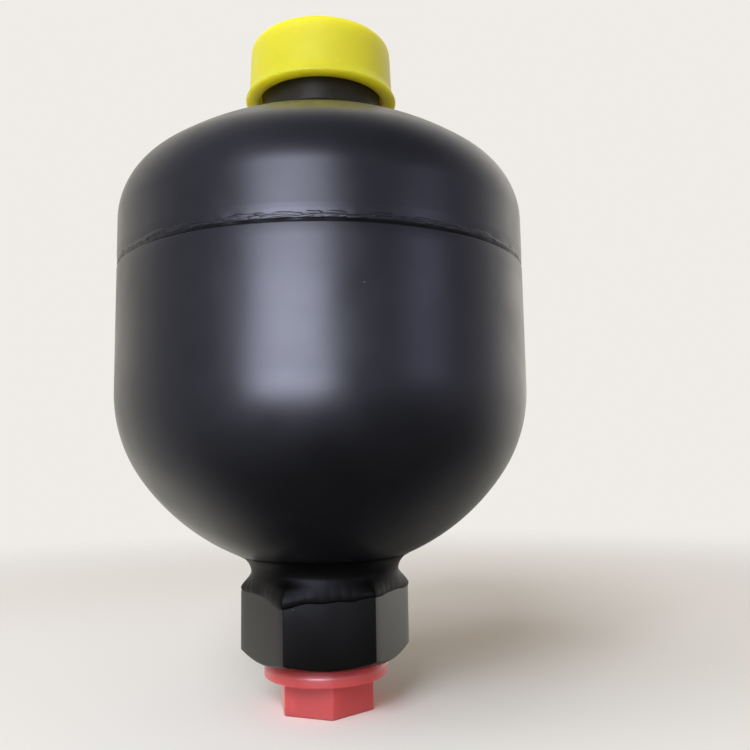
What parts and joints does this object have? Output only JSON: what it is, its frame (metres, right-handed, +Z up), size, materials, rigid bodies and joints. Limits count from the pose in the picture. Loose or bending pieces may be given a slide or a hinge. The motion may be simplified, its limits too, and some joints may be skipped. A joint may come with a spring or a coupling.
{
  "type": "diaphragm accumulator",
  "caption": "Welded diaphragm accumulator: steel pressure shell with rubber diaphragm, hexagonal fluid port, gas charging boss and transport caps.",
  "frame": {"origin": "centre of the transport plug's end face, where the accumulator stands on its axis", "axes": "+Z up along the axis from the fluid port to the gas boss, +X through a corner of the port's hexagon"},
  "size_m": [0.0904, 0.0904, 0.1503],
  "materials": {
    "black_paint": "satin",
    "blackened_steel": "glossy, oiled",
    "bare_steel": "turned",
    "zinc_plated_steel": "zinc plated",
    "nitrile_rubber": "moulded",
    "seal_rubber": "smooth",
    "yellow_ldpe": "satin, moulded",
    "red_ldpe": "translucent, moulded"
  },
  "bodies": {
    "vessel": {"fluid_shell": "black_paint", "gas_shell": "black_paint", "girth_weld": "black_paint", "weld_backing_ring": "bare_steel", "clamp_ring": "bare_steel", "diaphragm": "nitrile_rubber", "fluid_port": "black_paint", "fluid_port_weld": "black_paint", "gas_boss": "blackened_steel", "gas_boss_weld": "black_paint"},
    "closing_disc": {"valve_disc": "bare_steel"},
    "screw_seal": {"charging_seal": "seal_rubber"},
    "screw": {"charging_screw": "zinc_plated_steel"},
    "cap": {"gas_cap": "yellow_ldpe"},
    "plug": {"port_plug": "red_ldpe"}
  },
  "joints": [
    {"name": "diaphragm_lift", "type": "slide", "parent": "vessel", "child": "closing_disc", "axis": [0, 0, 1], "range_m": [0, 0.06], "deforming": ["diaphragm"]},
    {"name": "screw_travel", "type": "slide", "parent": "vessel", "child": "screw_seal", "axis": [0, 0, 1], "range_m": [0, 0.003]},
    {"name": "screw_turn", "type": "hinge", "parent": "screw_seal", "child": "screw", "pos_m": [0, 0, 0.1443], "axis": [0, 0, 1], "range_deg": [0, 720]},
    {"name": "cap_pull", "type": "slide", "parent": "vessel", "child": "cap", "axis": [0, 0, 1], "range_m": [0, 0.03]},
    {"name": "plug_pull", "type": "slide", "parent": "vessel", "child": "plug", "axis": [0, 0, -1], "range_m": [0, 0.03]}
  ],
  "couplings": [
    {"joint": "screw_travel", "follows": "screw_turn", "m_per_rad": 0.00023873}
  ]
}
